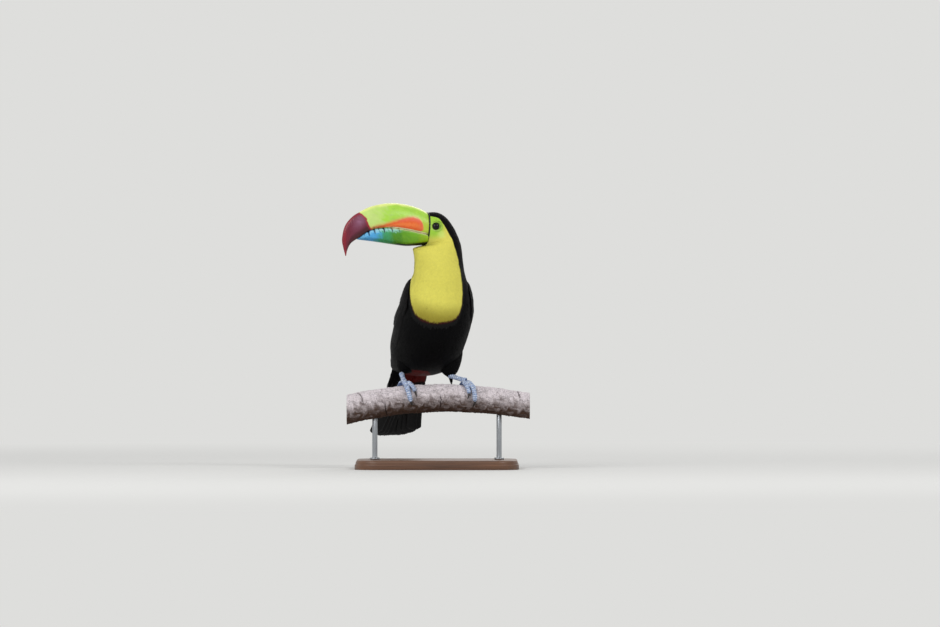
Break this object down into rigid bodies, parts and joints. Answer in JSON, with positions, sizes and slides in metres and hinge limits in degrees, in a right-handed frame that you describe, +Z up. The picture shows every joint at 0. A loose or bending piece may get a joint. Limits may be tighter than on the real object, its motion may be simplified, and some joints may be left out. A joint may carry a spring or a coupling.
{
  "type": "keel-billed toucan",
  "caption": "Life-size still model of a keel-billed toucan, head turned to its right, gripping a short cut branch on a flat display stand",
  "frame": {"origin": "centre of the display base's flat underside, on the surface it stands on", "axes": "+Z up; +X along the perch, to the bird's left; -Y is the side the breast faces; the bill points towards -X"},
  "size_m": [0.2859, 0.2433, 0.4053],
  "materials": {
    "black_plumage": "soft, slightly glossy",
    "yellow_plumage": "soft matt",
    "bill_horn": "satin",
    "eye": "wet gloss",
    "foot_skin": "scaly satin",
    "claw_horn": "satin",
    "bark": "rough bark",
    "base_wood": "oiled",
    "rod_steel": "brushed"
  },
  "bodies": {
    "root": {"bill_lower": "bill_horn", "bill_upper": "bill_horn", "claw_left_inner_back": "claw_horn", "claw_left_inner_front": "claw_horn", "claw_left_outer_back": "claw_horn", "claw_left_outer_front": "claw_horn", "claw_right_inner_back": "claw_horn", "claw_right_inner_front": "claw_horn", "claw_right_outer_back": "claw_horn", "claw_right_outer_front": "claw_horn", "eye_left": "eye", "eye_right": "eye", "head": "yellow_plumage", "neck": "yellow_plumage", "perch": "bark", "shank_left": "foot_skin", "shank_right": "foot_skin", "stand_base": "base_wood", "stand_rod_left": "rod_steel", "stand_rod_right": "rod_steel", "tail": "black_plumage", "thigh_left": "black_plumage", "thigh_right": "black_plumage", "toe_left_inner_back": "foot_skin", "toe_left_inner_front": "foot_skin", "toe_left_outer_back": "foot_skin", "toe_left_outer_front": "foot_skin", "toe_right_inner_back": "foot_skin", "toe_right_inner_front": "foot_skin", "toe_right_outer_back": "foot_skin", "toe_right_outer_front": "foot_skin", "trunk": "black_plumage", "wing_left": "black_plumage", "wing_right": "black_plumage"}
  },
  "joints": []
}
